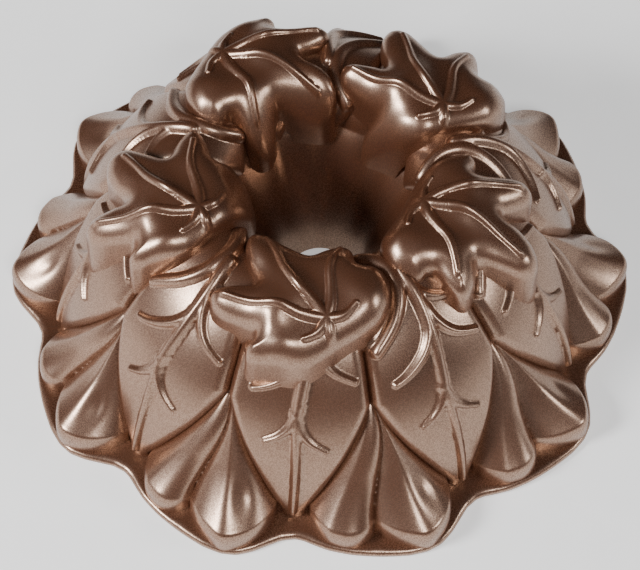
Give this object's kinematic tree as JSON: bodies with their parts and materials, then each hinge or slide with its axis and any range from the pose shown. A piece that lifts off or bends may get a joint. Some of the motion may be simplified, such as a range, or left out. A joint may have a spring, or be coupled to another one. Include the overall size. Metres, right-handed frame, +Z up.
{
  "type": "fluted ring cake pan",
  "caption": "Cast ring cake pan, rim down, with folded sides, long leaves, maple leaves round the crown and a centre tube.",
  "frame": {"origin": "centre of the resting plane under the rim, on the axis of the centre tube", "axes": "+Z up through the centre tube as the pan stands rim down; -Y is the front"},
  "size_m": [0.2672, 0.2575, 0.096],
  "materials": {
    "bronze_coating": "metallic bronze coating with a fine sparkle over cast aluminium, satin"
  },
  "bodies": {
    "root": {"rim_flange": "bronze_coating", "centre_tube": "bronze_coating", "long_leaf_01": "bronze_coating", "long_leaf_02": "bronze_coating", "long_leaf_03": "bronze_coating", "long_leaf_04": "bronze_coating", "long_leaf_05": "bronze_coating", "long_leaf_06": "bronze_coating", "long_leaf_07": "bronze_coating", "long_leaf_08": "bronze_coating", "long_leaf_09": "bronze_coating", "long_leaf_10": "bronze_coating", "fold_pair_01": "bronze_coating", "fold_pair_02": "bronze_coating", "fold_pair_03": "bronze_coating", "fold_pair_04": "bronze_coating", "fold_pair_05": "bronze_coating", "fold_pair_06": "bronze_coating", "fold_pair_07": "bronze_coating", "fold_pair_08": "bronze_coating", "fold_pair_09": "bronze_coating", "fold_pair_10": "bronze_coating", "maple_leaf_1": "bronze_coating", "maple_leaf_2": "bronze_coating", "maple_leaf_3": "bronze_coating", "maple_leaf_4": "bronze_coating", "maple_leaf_5": "bronze_coating"}
  },
  "joints": []
}
